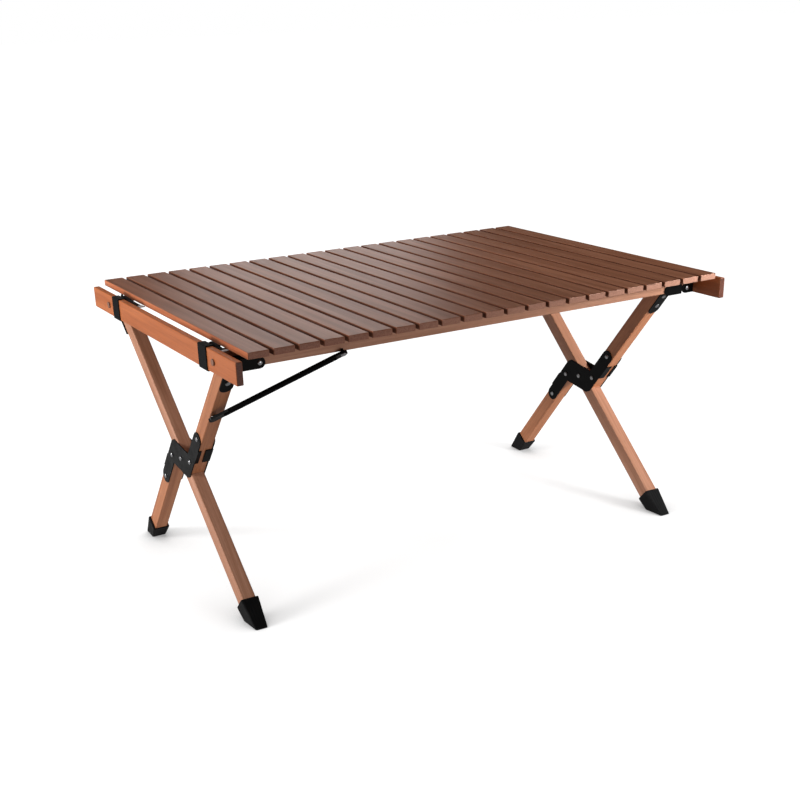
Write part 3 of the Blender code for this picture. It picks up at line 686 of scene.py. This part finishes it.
def build_stay_fittings():
    """The brace's rivet on the rail, and the post on the leg that its free end rests over."""
    swing = JOINTS["stay_swing"]
    axis = Vector(swing["axis"]).normalized()
    head = Vector(swing["pos_m"]) + axis * STAY_RIVET_LIFT
    add_rivets("leg_stay_rail_rivet", [(head, axis)], STAY_RIVET, "stay")
    face = SPLIT_OFFSET + LEG_HALF_DEPTH
    foot = split_place(POST_X, face + POST_GAP, POST_UP)
    bm = bmesh.new()
    add_turned(bm, POST_PROFILE, turn_to(SPLIT_OUT, foot))
    mesh = finish_mesh(bm, "leg_stay_post")
    post = link("leg_stay_post", mesh, RIVET_STEEL, "left_split_leg", smooth=True)


# ---- webbing ----
def add_band(name, path, across, width, thickness, material=WEBBING, body=None, closed=False):
    """A webbing band as a piece of its own."""
    mesh = band_mesh(name, path, across, width, thickness, closed)
    obj = link(name, mesh, material, body, smooth=True)
    return obj


def rounded_loop(low_x, high_x, low_z, high_z, y, radius, steps=5):
    """A closed path round a rectangle in XZ with rounded corners."""
    corners = (
        (high_x - radius, high_z - radius, 0.0),
        (low_x + radius, high_z - radius, math.pi / 2),
        (low_x + radius, low_z + radius, math.pi),
        (high_x - radius, low_z + radius, 1.5 * math.pi),
    )
    path = []
    for centre_x, centre_z, start in corners:
        for step in range(steps + 1):
            angle = start + math.pi / 2 * step / steps
            x = centre_x + radius * math.cos(angle)
            path.append((x, y, centre_z + radius * math.sin(angle)))
    return path


def build_straps():
    """Webbing loops round the end rails, tongues under the slats, and loose tails in the gap."""
    for name, side in SIDES:
        for end in ("front", "back"):
            build_strap(name, end, side)


def build_strap(name, end, side):
    """One strap: its loop, its tongue from the loop to the slats, and its tail."""
    rail_low, rail_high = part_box(f"{name}_end_rail")
    low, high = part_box(f"{name}_{end}_strap")
    body = f"{name}_end_rail_body"
    inner_x = rail_high.x if side < 0 else rail_low.x
    y = (low.y + high.y) / 2
    width = high.y - low.y
    spare = STRAP_GAP + STRAP_THICKNESS / 2
    path = rounded_loop(
        rail_low.x - spare,
        rail_high.x + spare,
        rail_low.z - spare,
        rail_high.z + spare,
        y,
        STRAP_CORNER,
    )
    loop = add_band(
        f"{name}_{end}_strap_loop", path, (0, 1, 0), width, STRAP_THICKNESS, body=body, closed=True
    )
    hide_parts(f"{name}_{end}_strap")
    tongue_x = high.x if side < 0 else low.x
    start_x = inner_x - side * (spare + STRAP_THICKNESS)
    top = SLAT_BOTTOM - STRAP_GAP - STRAP_THICKNESS / 2
    path = []
    for step in range(TONGUE_STEPS + 1):
        share = step / TONGUE_STEPS
        drop = TONGUE_DROP * (1 - share) ** 3
        path.append((start_x + (tongue_x - start_x) * share, y, top - drop))
    tongue_width = width * TONGUE_WIDTH_SHARE
    add_band(
        f"{name}_{end}_strap_tongue", path, (0, 1, 0), tongue_width, STRAP_THICKNESS, body=body
    )
    build_strap_tail(name, end, side, inner_x, y - width / 2, body)


def build_strap_tail(name, end, side, inner_x, start_y, body):
    """A loose tail that runs forward in the gap beside the outermost slat, to a pale tip."""
    x = inner_x - side * (TAIL_WIDTH / 2 + TAIL_SIDE_GAP)
    path = []
    for step in range(TAIL_STEPS + 1):
        share = step / TAIL_STEPS
        sag = TAIL_SAG * math.sin(math.pi * share)
        y = start_y + TAIL_START - TAIL_LENGTHS[end] * share
        path.append((x, y, SLAT_BOTTOM - TAIL_DROP - sag))
    tail_path = path[: TAIL_STEPS - 1]
    tip_path = path[TAIL_STEPS - TIP_STEPS:]
    tail_name = f"{name}_{end}_strap_tail"
    add_band(tail_name, tail_path, (1, 0, 0), TAIL_WIDTH, STRAP_THICKNESS, body=body)
    tip_width = TAIL_WIDTH * TIP_WIDTH_SHARE
    tip_thickness = STRAP_THICKNESS * TIP_THICKNESS_SHARE
    add_band(f"{tail_name}_tip", tip_path, (1, 0, 0), tip_width, tip_thickness, TIP_WEBBING, body)


def slat_body(number):
    return "tabletop" if number <= FIXED_SLATS else f"slat_{number:02d}_body"


def straight_path(start, end, y, z, steps):
    return [(start + (end - start) * step / steps, y, z) for step in range(steps + 1)]


def build_belts():
    """Webbing under the slats: one strip for the fixed slats, then a strip of its own across each
    further gap.
    """
    for name in ("front_belt", "back_belt"):
        low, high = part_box(name)
        y = (low.y + high.y) / 2
        width = high.y - low.y
        z = SLAT_BOTTOM - BELT_GAP - BELT_THICKNESS / 2
        middle = SLAT_ONE[0].x + SLAT_WIDTH / 2
        fixed_end = middle + SLAT_PITCH * (FIXED_SLATS - 1)
        path = straight_path(low.x, fixed_end, y, z, FIXED_BELT_STEPS)
        strip = add_band(
            f"{name}_strip_00", path, (0, 1, 0), width, BELT_THICKNESS, body="tabletop"
        )
        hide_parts(name)
        for number in range(FIXED_SLATS, SLATS):
            start = middle + SLAT_PITCH * (number - 1)
            end = start + SLAT_PITCH if number < SLATS - 1 else high.x
            path = straight_path(start, end, y, z, BENDING_BELT_STEPS)
            strip_name = f"{name}_strip_{number:02d}"
            strip = add_band(strip_name, path, (0, 1, 0), width, BELT_THICKNESS)
            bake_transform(strip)


def build_staples():
    """Two staples through each belt into every slat."""
    for number in range(1, SLATS + 1):
        low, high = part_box(f"slat_{number:02d}")
        x = (low.x + high.x) / 2
        bm = bmesh.new()
        for belt in ("front_belt", "back_belt"):
            belt_low, belt_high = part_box(belt)
            y = (belt_low.y + belt_high.y) / 2
            for offset in STAPLE_OFFSETS:
                cube = bmesh.ops.create_cube(bm, size=1.0)["verts"]
                size = (STAPLE_WIRE * 2, STAPLE_LENGTH, STAPLE_WIRE * 2)
                bmesh.ops.scale(bm, vec=size, verts=cube)
                place = (x + offset, y, belt_low.z - STAPLE_WIRE * 0.8)
                bmesh.ops.translate(bm, vec=place, verts=cube)
        name = f"slat_{number:02d}_staples"
        staples = link(name, finish_mesh(bm, name), RIVET_STEEL, slat_body(number))


# ---- studio ----
FLOOR_SIZE = 30.0
FLOOR_DROP = 0.0002
FLOOR_GLOW = 0.15  # the floor's own light, for every ray but the camera's
WORLD_GLOW = 0.13
WORLD_REFLECTION = 0.03

# name, place, target, width, height, watts, spread in degrees
LIGHTS = (
    ("key_left", (-2.5, 0.5, 1.10), (0, 0, 0.3), 0.8, 0.6, 58.0, 180.0),
    ("back_panel", (1.15, 2.7, 1.15), (-0.1, 0, 0.45), 1.0, 0.8, 6.0, 180.0),
    ("front_low", (0.5, -2.4, 0.50), (0.2, -0.2, 0.3), 1.2, 0.5, 11.0, 180.0),
    ("right_front", (1.15, -1.55, 0.80), (0.50, 0.0, 0.22), 0.5, 0.4, 2.7, 42.0),
    ("top_soft", (-0.2, 0.9, 2.6), (0, 0, 0.4), 1.5, 1.5, 9.0, 180.0),
)

CAMERA_PLACE = Vector((-1.09886, -1.85113, 0.90264))
CAMERA_AZIMUTH = math.radians(-30.179)
CAMERA_ELEVATION = math.radians(23.899)
CAMERA_ROLL = math.radians(-1.618)
CAMERA_LENS = 56.517
SENSOR_WIDTH = 36.0
CAMERA_SHIFT = (-0.001, 0.186)
# the share of the shift that is left at a distance from the camera's own place
SHIFT_FADE = ((0.0, 1.0), (0.02, 1.0), (0.05, 0.0))


def floor_material():
    """A plain white glowing floor that the camera sees darken softly near the feet, from painted
    shadow.
    """
    material, tree, shader = new_material("studio_floor")
    shader.inputs["Base Color"].default_value = (0.42, 0.42, 0.42, 1.0)
    shader.inputs["Roughness"].default_value = 1.0
    shader.inputs["Specular IOR Level"].default_value = 0.0
    shader.inputs["Emission Color"].default_value = (1.0, 1.0, 1.0, 1.0)
    rays = node(tree, "ShaderNodeLightPath").outputs["Is Camera Ray"]
    occlusion = node(tree, "ShaderNodeAmbientOcclusion", {"Distance": 0.18}, samples=8)
    coords = node(tree, "ShaderNodeTexCoord").outputs["Object"]
    away = node(tree, "ShaderNodeVectorMath", {0: coords}, operation="LENGTH").outputs["Value"]
    # the camera's glow is weaker near the table, so the lamps' shadows can show there
    base = remap(tree, away, 0.75, 2.2, 0.81, 1.0)
    # painted shadow: ambient occlusion darkens the glow softly near the feet and legs
    painted_contact_shadow = remap(tree, occlusion.outputs["AO"], 0.45, 1.0, 0.35, 1.0)
    seen = math_node(tree, "MULTIPLY", base, painted_contact_shadow)
    inputs = {0: rays, 2: FLOOR_GLOW, 3: seen}
    glow = node(tree, "ShaderNodeMix", inputs, data_type="FLOAT").outputs[0]
    tree.links.new(glow, shader.inputs["Emission Strength"])
    return material


def build_floor():
    bm = bmesh.new()
    bmesh.ops.create_grid(bm, x_segments=1, y_segments=1, size=FLOOR_SIZE)
    floor = link("studio_floor", finish_mesh(bm, "studio_floor"), floor_material())
    floor.location = (0, 0, -FLOOR_DROP)


def build_world():
    """White for the camera, softer for diffuse light and dim in reflections."""
    world = bpy.data.worlds.new("studio")
    bpy.context.scene.world = world
    world.use_nodes = True
    tree = world.node_tree
    background = tree.nodes["Background"]
    rays = node(tree, "ShaderNodeLightPath")
    inputs = {0: rays.outputs["Is Glossy Ray"], 2: WORLD_GLOW, 3: WORLD_REFLECTION}
    lit = node(tree, "ShaderNodeMix", inputs, data_type="FLOAT")
    inputs = {0: rays.outputs["Is Camera Ray"], 3: 1.0}
    seen = node(tree, "ShaderNodeMix", inputs, data_type="FLOAT")
    tree.links.new(lit.outputs[0], seen.inputs[2])
    tree.links.new(seen.outputs[0], background.inputs["Strength"])
    background.inputs["Color"].default_value = (1.0, 1.0, 1.0, 1.0)


def add_area(name, location, target, size_x, size_y, watts, spread):
    """A rectangular lamp that points at a target."""
    data = bpy.data.lights.new(name, "AREA")
    data.shape = "RECTANGLE"
    data.size = size_x
    data.size_y = size_y
    data.energy = watts
    data.spread = math.radians(spread)
    lamp = bpy.data.objects.new(name, data)
    lamp.location = location
    lamp.rotation_euler = (Vector(target) - Vector(location)).to_track_quat("-Z", "Y").to_euler()
    bpy.context.scene.collection.objects.link(lamp)


def build_lights():
    for light in LIGHTS:
        add_area(*light)


def drive_shift(data, path, value, camera, home):
    """Keys a lens shift to the camera's distance from its own place: it fades as that grows."""
    curve = data.driver_add(path)
    curve.driver.type = "SUM"
    moved = curve.driver.variables.new()
    moved.name = "moved"
    moved.type = "LOC_DIFF"
    moved.targets[0].id = camera
    moved.targets[1].id = home
    for modifier in list(curve.modifiers):
        curve.modifiers.remove(modifier)
    for distance, amount in SHIFT_FADE:
        point = curve.keyframe_points.insert(distance, amount * value)
        point.interpolation = "LINEAR"
    curve.extrapolation = "CONSTANT"


def build_camera():
    """A camera with a shifted frame, as a cropped picture has."""
    data = bpy.data.cameras.new("camera")
    data.lens = CAMERA_LENS
    data.sensor_width = SENSOR_WIDTH
    camera = bpy.data.objects.new("camera", data)
    bpy.context.scene.collection.objects.link(camera)
    bpy.context.scene.camera = camera
    back = Vector(
        (
            math.sin(CAMERA_AZIMUTH) * math.cos(CAMERA_ELEVATION),
            -math.cos(CAMERA_AZIMUTH) * math.cos(CAMERA_ELEVATION),
            math.sin(CAMERA_ELEVATION),
        )
    )
    level = Vector((0, 0, 1)).cross(back).normalized()
    upright = back.cross(level)
    right = level * math.cos(CAMERA_ROLL) + upright * math.sin(CAMERA_ROLL)
    up = upright * math.cos(CAMERA_ROLL) - level * math.sin(CAMERA_ROLL)
    turn = Matrix((right, up, back)).transposed().to_4x4()
    camera.matrix_world = Matrix.Translation(CAMERA_PLACE) @ turn
    home = bpy.data.objects.new("camera_home", None)
    home.location = CAMERA_PLACE
    bpy.context.scene.collection.objects.link(home)
    for path, value in (("shift_x", CAMERA_SHIFT[0]), ("shift_y", CAMERA_SHIFT[1])):
        drive_shift(data, path, value, camera, home)


def set_colour_view():
    view = bpy.context.scene.view_settings
    view.view_transform = "Standard"
    view.look = "None"
    view.exposure = 0.0
    view.gamma = 1.0


paint_frame()
build_cross_rivets()
build_clip_rivets()
build_rail_rivets()
build_stay_fittings()
build_straps()
build_belts()
build_staples()
build_floor()
build_world()
build_lights()
build_camera()
set_colour_view()
